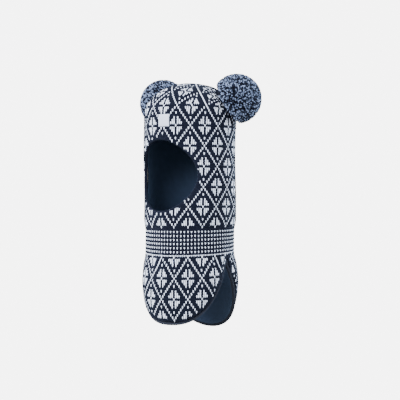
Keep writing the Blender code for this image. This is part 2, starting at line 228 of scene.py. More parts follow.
knit = {
    "columns": 160,
    "rowHeight": 0.0040,
    "plainRows": 29,  # rows of even height, from the band up
    "crownRows": 45,  # rows above them, up to the seam
    "evenRows": 20,  # the first of those, all the same height
    "evenHeight": 0.00393,
    "settle": 0.0024,  # the rows above the band settle by this much
    "leanLow": math.radians(2.3),  # the columns turn round the hood as they climb
    "leanHigh": math.radians(5.6),
    "stitchLift": 0.0002,
    "groundLift": -0.0005,
    "seamSpread": 1.115,
    "seamBehind": 0.0080,  # the crown seam lies behind the middle
    "puckerHeight": 0.0012,
    "puckers": 11,
    "puckerInner": 0.018,  # the folds round a pom-pom start this far from its tie
    "puckerRise": 0.014,
    "puckerOuter": 0.062,
    "puckerFall": 0.026,
    "rippleFade": 0.06,
    "levelRows": 10,  # by here the rows are level
    "settleFrom": 4,
    "settleRows": 16,
}
stitchAngle = math.tau / knit["columns"]
columnAngles = (np.arange(knit["columns"]) - 0.5) * stitchAngle
hoodRows = knit["plainRows"] + knit["crownRows"]

pomTwist = {side: jointOf("pompom_" + side + "_twist") for side in ("left", "right")}
pomPivot = {side: np.array(pomTwist[side]["pos_m"]) for side in pomTwist}
pomAxis = {side: np.array(pomTwist[side]["axis"]) for side in pomTwist}
pomBaseDrop = 0.0031  # from a pom-pom's pivot down to the cloth
pomAnchor = {side: pomPivot[side] - pomBaseDrop * pomAxis[side] for side in pomTwist}
anchorLift = math.asin((pomAnchor["left"][2] - domeZ) / cloth["domeRise"])
anchorAngle = math.atan2(pomAnchor["left"][0] / hoodHigh[0], -pomAnchor["left"][1] / hoodHigh[1])


def seamReach(turn, limit):  # quarter turn of the seam reached by a column this far round
    curve = (math.pi / 2 - knit["seamSpread"] * limit) / limit ** 3
    return knit["seamSpread"] * turn + curve * turn ** 3


def crownPaths(angles, lift):
    width, depth, rise = hoodHigh[0] + lift, hoodHigh[1] + lift, cloth["domeRise"] + lift
    turn = (angles + math.pi) % math.tau - math.pi
    onFront = np.abs(turn) <= anchorAngle
    reach = np.where(onFront, seamReach(np.abs(turn), anchorAngle),
                     seamReach(math.pi - np.abs(turn), math.pi - anchorAngle))
    seamX = width * math.cos(anchorLift) * math.sin(anchorAngle) * np.sin(reach) * np.sign(turn)
    anchorY = -depth * math.cos(anchorLift) * math.cos(anchorAngle)
    across = (seamX / (width * math.cos(anchorLift) * math.sin(anchorAngle))) ** 2
    seamY = knit["seamBehind"] + (anchorY - knit["seamBehind"]) * across
    share = 1 - np.cos(np.linspace(0, math.pi / 2, 90))
    startX, startY = width * np.sin(angles), -depth * np.cos(angles)
    x = startX + (seamX - startX) * share[:, None]
    y = startY + (seamY - startY) * share[:, None]
    z = domeZ + rise * np.sqrt(np.clip(1 - (x / width) ** 2 - (y / depth) ** 2, 0, 1))
    return np.stack([x, y, z], axis=-1)


def puckerLift(points):
    total = np.zeros(points.shape[:-1])
    for side in pomAnchor:
        away = points - pomAnchor[side]
        axis = pomAxis[side]
        sideways = unit(np.cross(axis, np.array([0.0, 0.0, 1.0])))
        upward = np.cross(sideways, axis)
        turn = np.arctan2(away @ upward, away @ sideways)
        reach = np.linalg.norm(away, axis=-1)
        ring = smooth01((reach - knit["puckerInner"]) / knit["puckerRise"])
        ring = ring * smooth01((knit["puckerOuter"] - reach) / knit["puckerFall"])
        total += knit["puckerHeight"] * ring * (0.5 + 0.5 * np.cos(knit["puckers"] * turn))
    return total


def lean(z):
    share = np.clip((z - chinZ) / (domeZ - chinZ), 0, 1)
    return knit["leanLow"] + (knit["leanHigh"] - knit["leanLow"]) * share


def hoodGrid(lift):  # corners of every stitch, row by row from the band up
    count = np.arange(knit["plainRows"] + 1)[:, None]
    settled = knit["settle"] * smooth01((count - knit["settleFrom"]) / knit["settleRows"])
    above = knit["rowHeight"] * count - settled
    start = bandTop(columnAngles + knit["leanLow"])
    rowZ = start + above - (start - bandTopZ) * smooth01(count / knit["levelRows"])
    angles = columnAngles + lean(rowZ)
    plain = clothPoint(angles, rowZ, lift + ripple(angles, rowZ))
    angles, footZ = angles[-1], rowZ[-1, 0]
    paths = crownPaths(columnAngles + knit["leanHigh"], lift)
    crown = np.zeros((knit["crownRows"], len(angles), 3))
    wave = ripple(angles, footZ)
    outward = np.stack([np.sin(angles), -np.cos(angles), np.zeros_like(angles)], axis=-1)
    even = knit["evenHeight"] * np.arange(1, knit["evenRows"] + 1)
    left = knit["crownRows"] - knit["evenRows"]
    share = np.arange(1, left + 1) / left
    for column in range(len(angles)):
        foot = clothPoint(angles[column], footZ, lift)
        line = np.vstack([foot[None, :], paths[:, column]])
        length = np.concatenate([[0], np.cumsum(np.linalg.norm(np.diff(line, axis=0), axis=1))])
        rest = length[-1] - even[-1]
        closing = even[-1] + rest * (1 - (1 - share) ** (knit["rowHeight"] * left / rest))
        along = np.concatenate([even, closing])
        for axis in range(3):
            crown[:, column, axis] = np.interp(along, length, line[:, axis])
        fading = wave[column] * (1 - smooth01(along / knit["rippleFade"]))
        crown[:, column] += outward[column] * fading[:, None]
    grid = np.concatenate([plain, crown])
    centre = np.array([0, 0, domeZ])
    away = unit((grid - centre) * np.array([1, 1, 1.6]))
    return grid + away * puckerLift(grid)[..., None]


def cellsOf(grid, closed):  # centre, across, upward and outward of every stitch
    left, right = bothSides(grid, closed)
    across = (right[:-1] - left[:-1] + right[1:] - left[1:]) / 2
    upward = (left[1:] - left[:-1] + right[1:] - right[:-1]) / 2
    centre = (left[:-1] + right[:-1] + left[1:] + right[1:]) / 4
    return centre, across, upward, unit(np.cross(across, upward))


def latticePick(column, row):  # 1 for the light yarn: diamonds with a four-petal motif
    half = 8
    dx, dy = (column + half) % (2 * half) - half, (row + half) % (2 * half) - half
    far = np.abs(dx) + np.abs(dy) > half
    dx = np.abs(np.where(far, column % (2 * half) - half, dx))
    dy = np.abs(np.where(far, row % (2 * half) - half, dy))
    petal = (dx >= 1) & (dy >= 1) & (dx + dy <= 4)
    dots = (dx == 0) & ((dy == 0) | (dy == 5))
    return ((dx + dy == half) | petal | dots).astype(float)


# materials

def newMaterial(name, **sockets):
    material = bpy.data.materials.new(name)
    material.use_nodes = True
    tree = material.node_tree
    shader = tree.nodes["Principled BSDF"]
    for key, value in sockets.items():
        shader.inputs[key.replace("_", " ")].default_value = value
    return material, tree, shader


def attributeOf(tree, name):
    return addNode(tree, "ShaderNodeAttribute", {"attribute_name": name}).outputs["Fac"]


def noiseOf(tree, millimetres):  # grains this many millimetres across
    place = addNode(tree, "ShaderNodeTexCoord").outputs["Object"]
    values = {"Scale": 1000 / millimetres, "Detail": 3.0, "Roughness": 0.6}
    return addNode(tree, "ShaderNodeTexNoise", None, values, {"Vector": place}).outputs["Fac"]


def feed(tree, socket, value):  # a number or colour is set, an output is linked
    if isinstance(value, (int, float, tuple)):
        socket.default_value = value
    elif value is not None:
        tree.links.new(value, socket)


def mathOf(tree, operation, *values):
    made = addNode(tree, "ShaderNodeMath", {"operation": operation})
    for slot, value in enumerate(values):
        feed(tree, made.inputs[slot], value)
    return made.outputs[0]


def mixOf(tree, share, first, second, blend="MIX"):
    made = addNode(tree, "ShaderNodeMix", {"data_type": "RGBA", "blend_type": blend})
    for slot, value in ((0, share), (6, first), (7, second)):
        feed(tree, made.inputs[slot], value)
    return made.outputs[2]


def bumpOf(tree, height, millimetres, strength=1.0, below=None):
    made = addNode(tree, "ShaderNodeBump", None, {"Strength": strength, "Distance": millimetres / 1000},
                   {"Height": height})
    feed(tree, made.inputs["Normal"], below)
    return made.outputs["Normal"]


def toned(tree, colour, tone):  # a colour made lighter or darker by a number
    grey = addNode(tree, "ShaderNodeCombineColor", None, None, {"Red": tone, "Green": tone, "Blue": tone})
    return mixOf(tree, 1.0, colour, grey.outputs["Color"], "MULTIPLY")


yarn = {
    "navy": "#090e1d",
    "light": "#e8f0ff",
    "pomNavy": "#060a18",
    "pomPale": "#8191b0",
    "lining": "#263449",
    "fibre": 0.28,  # millimetres, the fuzz on the yarn
    "shadeSwing": 0.30,
}


def yarnMaterial(name, navy, light, fuzz, sheen):
    # worsted-spun merino and acrylic, steamed flat: soft, matt, with a pale fuzz at grazing angles
    material, tree, shader = newMaterial(name, Roughness=0.86, Sheen_Weight=sheen, Sheen_Roughness=0.45,
                                         Specular_IOR_Level=0.12)
    shader.inputs["Sheen Tint"].default_value = linear("#a9bce0")
    colour = mixOf(tree, attributeOf(tree, "yarnPick"), linear(navy), linear(light))
    swing = mathOf(tree, "MULTIPLY_ADD", attributeOf(tree, "yarnShade"), yarn["shadeSwing"],
                   1 - yarn["shadeSwing"] / 2)
    fleck = mathOf(tree, "MULTIPLY_ADD", noiseOf(tree, fuzz), 0.5, 0.75)
    tone = mathOf(tree, "MULTIPLY", swing, fleck)
    tree.links.new(toned(tree, colour, tone), shader.inputs["Base Color"])
    plies = mathOf(tree, "SINE", mathOf(tree, "MULTIPLY", attributeOf(tree, "legAlong"), 5 * math.tau))
    fine = bumpOf(tree, noiseOf(tree, fuzz), 0.12, 0.7)
    tree.links.new(bumpOf(tree, plies, 0.05, 0.6, fine), shader.inputs["Normal"])
    return material


def paintedShadeGroundMaterial():
    # the back of the jacquard seen between the stitches: the same yarns, darkened with painted shade as if
    # in their own shadow
    material, tree, shader = newMaterial("merinoJacquardGroundPaintedShade", Roughness=0.95, Specular_IOR_Level=0.08)
    # painted shade: both yarns far darker than in the stitches, for the shadow that falls between them
    colour = mixOf(tree, attributeOf(tree, "yarnPick"), linear("#070a14"), linear("#1c2233"))
    tree.links.new(colour, shader.inputs["Base Color"])
    tree.links.new(bumpOf(tree, noiseOf(tree, 0.6), 0.3), shader.inputs["Normal"])
    return material


def jerseyMaterial():
    # fine circular-knit cotton jersey, piece-dyed navy: soft vertical wales, drawn at 1.1 mm so they show
    material, tree, shader = newMaterial("circularKnitCottonJersey", Roughness=0.82, Sheen_Weight=0.25,
                                         Sheen_Roughness=0.5, Specular_IOR_Level=0.25)
    shader.inputs["Sheen Tint"].default_value = linear("#7f9cc4")
    place = addNode(tree, "ShaderNodeSeparateXYZ", None, None,
                    {"Vector": addNode(tree, "ShaderNodeUVMap", {"uv_map": "cloth"}).outputs["UV"]})
    wales = mathOf(tree, "SINE", mathOf(tree, "MULTIPLY", place.outputs["X"], math.tau / 0.0011))
    rows = mathOf(tree, "SINE", mathOf(tree, "MULTIPLY", place.outputs["Y"], math.tau / 0.0008))
    weave = mathOf(tree, "MULTIPLY_ADD", rows, 0.35, wales)
    tone = mathOf(tree, "MULTIPLY_ADD", noiseOf(tree, 9.0), 0.35, 0.82)
    # painted shade in the grooves between the wales and painted light on their ridges, following the bump's
    # weave
    toneWithPaintedWaleShade = mathOf(tree, "MULTIPLY_ADD", weave, 0.10, tone)
    tree.links.new(toned(tree, linear(yarn["lining"]), toneWithPaintedWaleShade), shader.inputs["Base Color"])
    fine = bumpOf(tree, noiseOf(tree, 0.3), 0.05, 0.5)
    tree.links.new(bumpOf(tree, weave, 0.10, 0.6, fine), shader.inputs["Normal"])
    return material


def plainFinish(name, hexCode, roughness, grain, depth, swing=0.2, **more):
    # a single-colour textile or paper, broken up by its own grain
    material, tree, shader = newMaterial(name, Roughness=roughness, **more)
    tone = mathOf(tree, "MULTIPLY_ADD", noiseOf(tree, grain), swing, 1 - swing / 2)
    tree.links.new(toned(tree, linear(hexCode), tone), shader.inputs["Base Color"])
    tree.links.new(bumpOf(tree, noiseOf(tree, grain), depth, 0.8), shader.inputs["Normal"])
    return material


# navy and off-white knitting yarn, dull and dense
stitchYarn = yarnMaterial("worstedMerinoJacquardStitches", yarn["navy"], yarn["light"], yarn["fibre"], 0.10)
# softer, fluffier yarn, cut so that its ends fleck the ball
pomYarn = yarnMaterial("cutAcrylicPileYarn", yarn["pomNavy"], yarn["pomPale"], 0.5, 0.10)
ground = paintedShadeGroundMaterial()
jersey = jerseyMaterial()
# navy knit turned in on itself
rolledEdge = plainFinish("rolledMerinoEdge", "#141c2e", 0.9, 0.5, 0.2)
# close satin weave with a low gloss
satin = plainFinish("wovenSatinLabel", "#bcc5d6", 0.42, 0.35, 0.04, 0.10, Sheen_Weight=0.2)
# smooth white film, a little shiny
membraneFilm = plainFinish("laminatedWindproofFilm", "#e4e6e8", 0.35, 1.5, 0.05, 0.08)
# soft white webbing with fine ribs
elasticWebbing = plainFinish("wovenPolyesterElastic", "#e8e6df", 0.7, 0.8, 0.2, 0.15)
# matted grey-blue fibres, quite dull
feltDisc = plainFinish("pressedWoolFelt", "#1a2236", 0.95, 0.9, 0.25, 0.35)
# tight thread with a slight gloss
bindingThread = plainFinish("twistedPolyesterThread", "#1c2740", 0.55, 0.4, 0.1, 0.25)
# matt navy yarn
tieYarn = plainFinish("twoPlyTieYarn", "#1a2238", 0.85, 0.5, 0.15, 0.3)


# Geometry Nodes trees

def newTree(name, inputs):
    tree = bpy.data.node_groups.new(name, "GeometryNodeTree")
    tree.interface.new_socket("Geometry", in_out="INPUT", socket_type="NodeSocketGeometry")
    for label, kind in inputs.items():
        tree.interface.new_socket(label, in_out="INPUT", socket_type=kind)
    tree.interface.new_socket("Geometry", in_out="OUTPUT", socket_type="NodeSocketGeometry")
    return tree, tree.nodes.new("NodeGroupInput")


def readNamed(tree, name, kind="FLOAT"):
    made = addNode(tree, "GeometryNodeInputNamedAttribute", {"data_type": kind}, {"Name": name})
    return made.outputs["Attribute"]


def onSeeds(tree, start, piece, scales):  # a copy on each seed, turned outwards and scaled by its measures
    turn = addNode(tree, "FunctionNodeAxesToRotation", {"primary_axis": "Z", "secondary_axis": "X"}, None, {
        "Primary Axis": readNamed(tree, "outward", "FLOAT_VECTOR"),
        "Secondary Axis": readNamed(tree, "alongRow", "FLOAT_VECTOR")})
    size = addNode(tree, "ShaderNodeCombineXYZ", None, None,
                   {axis: readNamed(tree, scale) for axis, scale in zip("XYZ", scales)})
    placed = addNode(tree, "GeometryNodeInstanceOnPoints", None, None, {
        "Points": start.outputs["Geometry"], "Instance": piece,
        "Rotation": turn.outputs[0], "Scale": size.outputs[0]})
    solid = addNode(tree, "GeometryNodeRealizeInstances", None, None, {"Geometry": placed.outputs[0]})
    smooth = addNode(tree, "GeometryNodeSetShadeSmooth", None, None, {"Geometry": solid.outputs[0]})
    dressed = addNode(tree, "GeometryNodeSetMaterial", None, None,
                      {"Geometry": smooth.outputs[0], "Material": start.outputs["Material"]})
    addNode(tree, "NodeGroupOutput", None, None, {"Geometry": dressed.outputs[0]})
    return tree


def stitchTree():  # a knit stitch is two bowed legs that meet low in the middle
    tree, start = newTree("knitStitches", {"Yarn Radius": "NodeSocketFloat",
                                           "Material": "NodeSocketMaterial"})
    legs = addNode(tree, "GeometryNodeJoinGeometry")
    for side in (1, -1):
        leg = addNode(tree, "GeometryNodeCurveQuadraticBezier", None, {
            "Resolution": 3, "Start": (0.06 * side, -0.62, -0.25),
            "Middle": (0.34 * side, -0.05, 0.62), "End": (0.26 * side, 0.62, -0.25)})
        tree.links.new(leg.outputs[0], legs.inputs[0])
    along = addNode(tree, "GeometryNodeSplineParameter").outputs["Factor"]
    marked = addNode(tree, "GeometryNodeStoreNamedAttribute", {"data_type": "FLOAT", "domain": "POINT"},
                     {"Name": "legAlong"}, {"Geometry": legs.outputs[0], "Value": along})
    centred = addNode(tree, "ShaderNodeMath", {"operation": "MULTIPLY_ADD"}, {1: 2.0, 2: -1.0}, {0: along})
    squared = addNode(tree, "ShaderNodeMath", {"operation": "MULTIPLY"}, None,
                      {0: centred.outputs[0], 1: centred.outputs[0]})
    taper = addNode(tree, "ShaderNodeMath", {"operation": "MULTIPLY_ADD"}, {1: -0.3, 2: 1.0},
                    {0: squared.outputs[0]})
    thick = addNode(tree, "GeometryNodeSetCurveRadius", None, None,
                    {"Curve": marked.outputs[0], "Radius": taper.outputs[0]})
    outline = addNode(tree, "GeometryNodeCurvePrimitiveCircle", None, {"Resolution": 5},
                      {"Radius": start.outputs["Yarn Radius"]})
    leg = addNode(tree, "GeometryNodeCurveToMesh", None, {"Fill Caps": True},
                  {"Curve": thick.outputs[0], "Profile Curve": outline.outputs[0]})
    return onSeeds(tree, start, leg.outputs[0], ("cellWidth", "cellHeight", "cellWidth"))


def tuftTree():  # a pom-pom is thousands of cut yarn ends that flare from the middle
    tree, start = newTree("cutYarnEnds", {"End Radius": "NodeSocketFloat", "Root Radius": "NodeSocketFloat",
                                          "Material": "NodeSocketMaterial"})
    end = addNode(tree, "GeometryNodeMeshCone", None, {"Vertices": 4, "Side Segments": 1, "Depth": 1.0},
                  {"Radius Top": start.outputs["End Radius"],
                   "Radius Bottom": start.outputs["Root Radius"]})
    return onSeeds(tree, start, end.outputs["Mesh"], ("cellWidth", "cellWidth", "cellHeight"))


knitStitches = stitchTree()
cutYarnEnds = tuftTree()


def runTree(name, tree, seeds, values):
    item = meshObject(name, seeds["centre"], [])
    giveAttribute(item.data, "alongRow", seeds["alongRow"], kind="FLOAT_VECTOR")
    giveAttribute(item.data, "outward", seeds["outward"], kind="FLOAT_VECTOR")
    for label in ("cellWidth", "cellHeight", "yarnPick", "yarnShade"):
        giveAttribute(item.data, label, seeds[label])
    grow = item.modifiers.new(tree.name, "NODES")
    grow.node_group = tree
    sockets = {socket.name: socket.identifier for socket in tree.interface.items_tree
               if socket.in_out == "INPUT"}
    for label, value in values.items():
        grow[sockets[label]] = value
    bake(item)
    for label in ("alongRow", "outward", "cellWidth", "cellHeight"):
        item.data.attributes.remove(item.data.attributes[label])
    return item


stitch = {"yarnRadius": 0.24, "seed": 11, "smallest": 0.0009, "paleNarrow": 0.34, "paleShort": 0.14}
dice = np.random.default_rng(stitch["seed"])


def stitchSeeds(centre, across, upward, outward, pick):
    count = len(centre)
    return {"centre": centre, "alongRow": unit(across), "outward": outward,
            "cellWidth": np.linalg.norm(across, axis=-1), "cellHeight": np.linalg.norm(upward, axis=-1),
            "yarnPick": pick, "yarnShade": np.clip(dice.normal(0.5, 0.2, count), 0, 1)}


def knitPiece(name, cells, keep, pick):
    centre, across, upward, outward = (part[keep] for part in cells)
    seeds = stitchSeeds(centre, across, upward, outward, pick[keep])
    seeds["cellWidth"] *= 1 - stitch["paleNarrow"] * pick[keep]  # the light yarn sinks between the navy
    seeds["cellHeight"] *= 1 - stitch["paleShort"] * pick[keep]
    return runTree(name, knitStitches, seeds, {"Yarn Radius": stitch["yarnRadius"], "Material": stitchYarn})


# face opening

opening = {
    "halfWidth": (bindHigh[0] - bindLow[0]) / 2 - 2 * cloth["rollRadius"],
    "halfHeight": (bindHigh[2] - bindLow[2]) / 2 - 2 * cloth["rollRadius"],
    "centreZ": (bindHigh[2] + bindLow[2]) / 2,
    "stitchMargin": 0.0030,
    "groundMargin": 0.0026,
}


def inOpening(points, margin):  # across and up, 1 at the opening's edge
    across = points[..., 0] / (opening["halfWidth"] + margin)
    return across, (points[..., 2] - opening["centreZ"]) / (opening["halfHeight"] + margin)


def openingShare(points, margin):  # under 1 inside the opening
    return np.where(points[..., 1] < 0, np.hypot(*inOpening(points, margin)), 9.0)


def openingPoint(turn, margin, lift):
    x = (opening["halfWidth"] + margin) * np.cos(turn)
    z = opening["centreZ"] + (opening["halfHeight"] + margin) * np.sin(turn)
    angle = np.arcsin(x / (halfSizes(z)[0] + lift))
    return clothPoint(angle, z, lift)


def snapToOpening(grid, margin, lift):  # pulls the grid's points inside the opening out to its edge
    inside = openingShare(grid, margin) < 1
    across, up = inOpening(grid, margin)
    turn = np.arctan2(up, across)
    snapped = np.where(inside[..., None], openingPoint(turn, margin, lift), grid)
    return snapped, inside


def faceKeep(inside, closed):  # faces with at least one corner outside the opening
    left, right = bothSides(inside, closed)
    return ~(left[:-1] & right[:-1] & left[1:] & right[1:])


# hood

def makeHood():
    rowIndex = np.arange(hoodRows) - 1
    columnIndex = np.arange(knit["columns"])
    pick = latticePick(columnIndex[None, :], rowIndex[:, None])
    pick[0] = 0.0
    grid = hoodGrid(knit["groundLift"])
    grid, inside = snapToOpening(grid, opening["groundMargin"], knit["groundLift"])
    base = clothSheet("hood_knit_ground", grid, True, cloth["knitThickness"], ground,
                      keep=faceKeep(inside, True), pick=pick)
    cells = cellsOf(hoodGrid(knit["stitchLift"]), True)
    tall = np.linalg.norm(cells[2], axis=-1) > stitch["smallest"]
    clear = (openingShare(cells[0], opening["stitchMargin"]) > 1) & tall
    pieces = []
    bounds = [0, 7, 20, 33, 46, 59, hoodRows]
    for number, (first, last) in enumerate(zip(bounds, bounds[1:])):
        part = np.zeros_like(clear)
        part[first:last] = True
        pieces.append(knitPiece("hood_stitches_%d" % (number + 1), cells, clear & part, pick))
    return base, pieces


hoodGround, hoodStitches = makeHood()
print("hood knitted:", len(hoodStitches), "pieces of stitches")


# neck band: thirteen rows, with a light stitch and a navy one by turns on every other row

band = {"rows": 13, "ribDip": 0.0004}


def bandGrid(lift):
    share = np.arange(band["rows"] + 1)[::-1, None] / band["rows"]  # from the bottom edge up
    angles = columnAngles + knit["leanLow"]
    z = bandHeight(angles, share)
    return clothPoint(angles, z, lift + ripple(angles, z))


def makeBand():
    fromTop = band["rows"] - 1 - np.arange(band["rows"])[:, None]
    columnIndex = np.arange(knit["columns"])[None, :]
    pick = ((fromTop % 2 == 0) & ((columnIndex % 2 == 0) | (fromTop == band["rows"] - 1))).astype(float)
    base = clothSheet("neck_band_ground", bandGrid(knit["groundLift"]), True, cloth["knitThickness"],
                      ground, pick=pick)
    centre, across, upward, outward = cellsOf(bandGrid(knit["stitchLift"]), True)
    centre = centre - outward * (band["ribDip"] * (columnIndex % 2))[..., None]
    everything = np.ones(pick.shape, bool)
    return base, knitPiece("neck_band_stitches", (centre, across, upward, outward), everything, pick)


bandGround, bandStitches = makeBand()
print("neck band knitted")


# flaps

flaps = {
    "front": {"centre": twist + math.radians(1.5), "span": math.radians(84), "roundness": 2.45,
              "low": frontHemLow[2], "hinge": frontHinge, "body": "front_flap", "gather": 0.10},
    "back": {"centre": math.pi + twist - math.radians(3), "span": math.radians(98), "roundness": 2.0,
             "low": backHemLow[2], "hinge": backHinge, "body": "back_flap", "gather": 0.0},
}
flap = {
    "slitShare": 0.955,
    "sheetEnd": 0.985,
    "navyMargin": 0.0056,
    "stitchMargin": 0.0026,
    "bulge": 0.0022,
    "bulgeDrop": 0.02,
    "bulgeReach": 0.03,
    "curl": 0.0030,
    "curlReach": 0.016,
    "motifRow": 8,
    "gatherAngle": math.radians(58),  # below the band the columns draw together towards here
    "gatherDrop": 0.020,
    "tuck": 0.0015,  # the first row starts this far behind the band's edge
}


def outlineOf(shape, share):  # angle and height of a flap's lower edge
    angle = shape["centre"] + share * shape["span"]
    lowest = shape["low"] + cloth["rollRadius"]
    return angle, lowest + (bandBottom(angle) - lowest) * np.abs(share) ** shape["roundness"]


def edgeDistance(shape, angle, z):  # along the cloth to the flap's edge, negative outside
    radius = (hoodHigh[0] + hoodHigh[1]) / 2
    edgeAngle, edgeZ = outlineOf(shape, np.linspace(-1, 1, 500))
    away = np.hypot((np.asarray(angle)[..., None] - edgeAngle) * radius, np.asarray(z)[..., None] - edgeZ)
    share = np.clip((np.asarray(angle) - shape["centre"]) / shape["span"], -1, 1)
    inside = z > outlineOf(shape, share)[1]
    return np.where(inside, away.min(axis=-1), -away.min(axis=-1))


def flapLift(shape, angle, z):  # the flap swells a little and its edge curls back in
    distance = edgeDistance(shape, angle, z)
    below = bandBottom(angle) - z
    swell = flap["bulge"] * smooth01(distance / flap["bulgeReach"])
    curl = flap["curl"] * np.clip(1 - distance / flap["curlReach"], 0, 1.3) ** 2
    return (swell - curl) * smooth01(below / flap["bulgeDrop"])


def gathered(shape, column, below):  # how far round this column of stitches hangs
    drawn = smooth01(below / flap["gatherDrop"])
    angle = column * stitchAngle + knit["leanLow"] * (1 - drawn)
    return angle + (flap["gatherAngle"] - angle) * shape["gather"] * drawn


def columnAt(shape, angle, below):  # the column of stitches that hangs here
    drawn = smooth01(below / flap["gatherDrop"])
    straight = flap["gatherAngle"] + (angle - flap["gatherAngle"]) / (1 - shape["gather"] * drawn)
    return (straight - knit["leanLow"] * (1 - drawn)) / stitchAngle


def flapSheet(shape, name, lift, thickness, material, rows=30, columns=90, picked=False):
    shares = np.linspace(-flap["slitShare"], flap["slitShare"], columns)
    angle, edgeZ = outlineOf(shape, shares)
    top = bandBottom(angle)
    rowShare = np.linspace(flap["sheetEnd"], 0, rows)[:, None]
    z = top + (edgeZ - top) * rowShare
    angles = np.broadcast_to(angle, z.shape)
    grid = clothPoint(angles, z, lift + flapLift(shape, angles, z) + ripple(angles, z))
    uv = np.stack([angles * (hoodHigh[0] + hoodHigh[1]) / 2, z], axis=-1)
    pick = None
    if picked:
        middleAngle = (angles[1:, 1:] + angles[:-1, :-1]) / 2
        middleZ = (z[1:, 1:] + z[:-1, :-1]) / 2
        below = bandBottom(middleAngle) + flap["tuck"] - middleZ
        column = np.round(columnAt(shape, middleAngle, below)).astype(int)
        row = np.floor(below / knit["rowHeight"]).astype(int)
        pick = latticePick(column, row + flap["motifRow"])
        pick = np.where(edgeDistance(shape, middleAngle, middleZ) < flap["navyMargin"], 0.0, pick)
    return clothSheet(name, grid, False, thickness, material, pick=pick, uv=uv)


def flapStitches(side, shape):
    first = math.ceil(columnAt(shape, shape["centre"] - shape["span"], 1.0))
    last = math.floor(columnAt(shape, shape["centre"] + shape["span"], 1.0))
    columns = np.arange(first, last + 1)
    cornerColumns = np.arange(first, last + 2) - 0.5
    rows = math.ceil((bandFrontZ - shape["low"]) / knit["rowHeight"]) + 2
    below = knit["rowHeight"] * np.arange(rows + 1)[::-1, None]
    angles = gathered(shape, cornerColumns, below)
    z = bandBottom(angles) + flap["tuck"] - below
    lift = knit["stitchLift"] + flapLift(shape, angles, z) + ripple(angles, z)
    cells = cellsOf(clothPoint(angles, z, lift), False)
    middleAngle = (angles[1:, 1:] + angles[:-1, :-1]) / 2
    middleZ = cells[0][..., 2]
    distance = edgeDistance(shape, middleAngle, middleZ)
    rowDown = rows - 1 - np.arange(rows)[:, None]
    pick = latticePick(columns[None, :], rowDown + flap["motifRow"])
    pick = np.where(distance < flap["navyMargin"], 0.0, pick)
    withinSlit = np.abs(middleAngle - shape["centre"]) < shape["span"] * flap["slitShare"]
    return knitPiece(side + "_flap_stitches", cells, (distance > flap["stitchMargin"]) & withinSlit, pick)


# rolled edges: a soft tube with a row of small navy stitches round it

def aroundPath(outward, sideways, turns):  # directions round each point of a path
    return outward[:, None] * np.cos(turns)[:, None] + sideways[:, None] * np.sin(turns)[:, None]


def tubeMesh(name, path, outwards, radius, closed, material, sides=12):
    count = len(path)
    tangent = np.roll(path, -1, axis=0) - np.roll(path, 1, axis=0)
    if not closed:
        tangent[0], tangent[-1] = path[1] - path[0], path[-1] - path[-2]
    tangent = unit(tangent)
    sideways = unit(np.cross(tangent, outwards))
    outward = np.cross(sideways, tangent)
    turns = np.linspace(0, math.tau, sides, endpoint=False)
    points = path[:, None] + aroundPath(outward, sideways, turns) * radius
    faces = np.roll(gridFaces(count + closed, sides, True)[:, ::-1], 1, axis=1) % (count * sides)
    faces = faces.tolist()
    if not closed:
        faces += [range(sides), range((count - 1) * sides, count * sides)[::-1]]
    item = meshObject(name, points, faces)
    item.data.materials.append(material)
    return item, tangent, outward, sideways


def resample(path, pitch, closed):
    line = np.vstack([path, path[:1]]) if closed else path
    length = np.concatenate([[0], np.cumsum(np.linalg.norm(np.diff(line, axis=0), axis=1))])
    count = max(4, round(length[-1] / pitch))
    where = np.linspace(0, length[-1], count + 1)[:count if closed else None]
    return np.stack([np.interp(where, length, line[:, axis]) for axis in range(3)], axis=-1)


roll = {
    "coreRadius": 0.0017,
    "stitchPitch": 0.0028,
    "around": 6,
    "stitchWidth": 0.0021,
    "hemPick": 0.02,  # the flaps' edges are a little lighter than the face's
}


def outwardAt(points):
    width, depth = halfSizes(points[:, 2])
    flat = np.zeros(len(points))
    return unit(np.stack([points[:, 0] / width ** 2, points[:, 1] / depth ** 2, flat], axis=-1))


def rolledEdgePieces(name, path, closed, pick=0.0):
    path = resample(path, roll["stitchPitch"], closed)
    core, tangent, outward, sideways = tubeMesh(name + "_core", path, outwardAt(path), roll["coreRadius"],
                                                closed, rolledEdge)
    turns = np.arange(roll["around"]) * math.tau / roll["around"]
    normal = aroundPath(outward, sideways, turns)
    centre = path[:, None] + normal * (roll["coreRadius"] + 0.0001)
    upward = np.broadcast_to(tangent[:, None], normal.shape)
    across = np.cross(upward, normal)
    seeds = stitchSeeds(centre.reshape(-1, 3), across.reshape(-1, 3) * roll["stitchWidth"],
                        upward.reshape(-1, 3) * roll["stitchPitch"], normal.reshape(-1, 3),
                        np.full(centre.shape[0] * centre.shape[1], pick))
    stitches = runTree(name + "_stitches", knitStitches, seeds,
                       {"Yarn Radius": stitch["yarnRadius"], "Material": stitchYarn})
    return core, stitches


turns = np.linspace(0, math.tau, 240, endpoint=False)
bindingCore, bindingStitches = rolledEdgePieces(
    "face_binding", openingPoint(turns, cloth["rollRadius"] - cloth["rollInset"],
                                 -cloth["rollRadius"] + cloth["rollProud"]), True)

flapPieces = {}
for side, shape in flaps.items():
    shares = np.linspace(-flap["slitShare"], flap["slitShare"], 300)
    edgeAngle, edgeZ = outlineOf(shape, shares)
    hemLift = flapLift(shape, edgeAngle, edgeZ) - cloth["rollRadius"] + cloth["rollProud"]
    hemPath = clothPoint(edgeAngle, edgeZ, hemLift)
    hemCore, hemStitches = rolledEdgePieces(side + "_flap_hem", hemPath, False, pick=roll["hemPick"])
    flapPieces[side] = {
        "knit": flapSheet(shape, side + "_flap_ground", knit["groundLift"], cloth["knitThickness"],
                          ground, picked=True),
        "stitches": flapStitches(side, shape),
        "lining": flapSheet(shape, side + "_flap_jersey", -cloth["liningDepth"], cloth["liningThickness"],
                            jersey, rows=24, columns=60),
        "hemCore": hemCore,
        "hemStitches": hemStitches,
    }
print("flaps knitted and edged")


# linings

